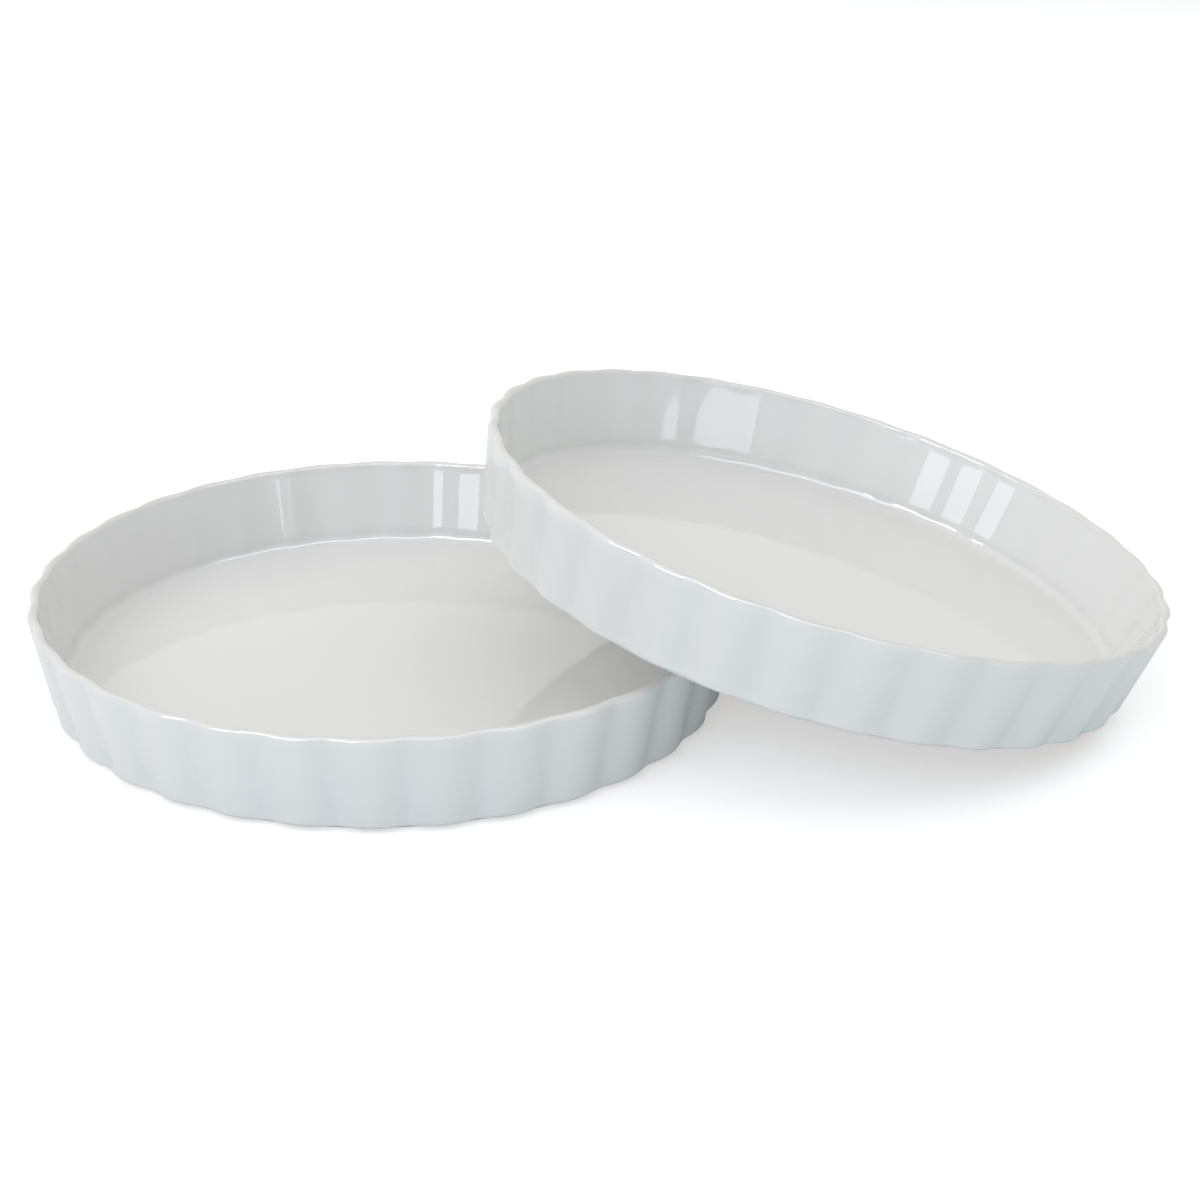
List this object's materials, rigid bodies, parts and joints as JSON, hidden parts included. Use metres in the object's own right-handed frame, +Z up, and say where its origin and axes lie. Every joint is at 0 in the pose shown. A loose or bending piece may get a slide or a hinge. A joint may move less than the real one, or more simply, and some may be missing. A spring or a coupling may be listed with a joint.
{
  "type": "quiche dish set",
  "caption": "Round white glazed porcelain quiche dishes with fluted walls: a flat dish and a matching dish leaning on its rim, for baking and serving.",
  "frame": {"origin": "middle of the pair's footprint box, on the table that both dishes stand on", "axes": "+X from the flat dish towards the low edge of the leaning dish, +Z up; XZ is a mirror plane of the pair"},
  "size_m": [0.428, 0.2656, 0.0994],
  "materials": {
    "white_glazed_porcelain": "clear gloss glaze over white porcelain, bare matt foot ring"
  },
  "bodies": {
    "flat_dish": {"flat_dish": "white_glazed_porcelain"},
    "leaning_dish": {"leaning_dish": "white_glazed_porcelain"}
  },
  "joints": [
    {"name": "leaning_dish_lift", "type": "slide", "parent": "flat_dish", "child": "leaning_dish", "axis": [0, 0, 1], "range_m": [0, 0.08]}
  ]
}
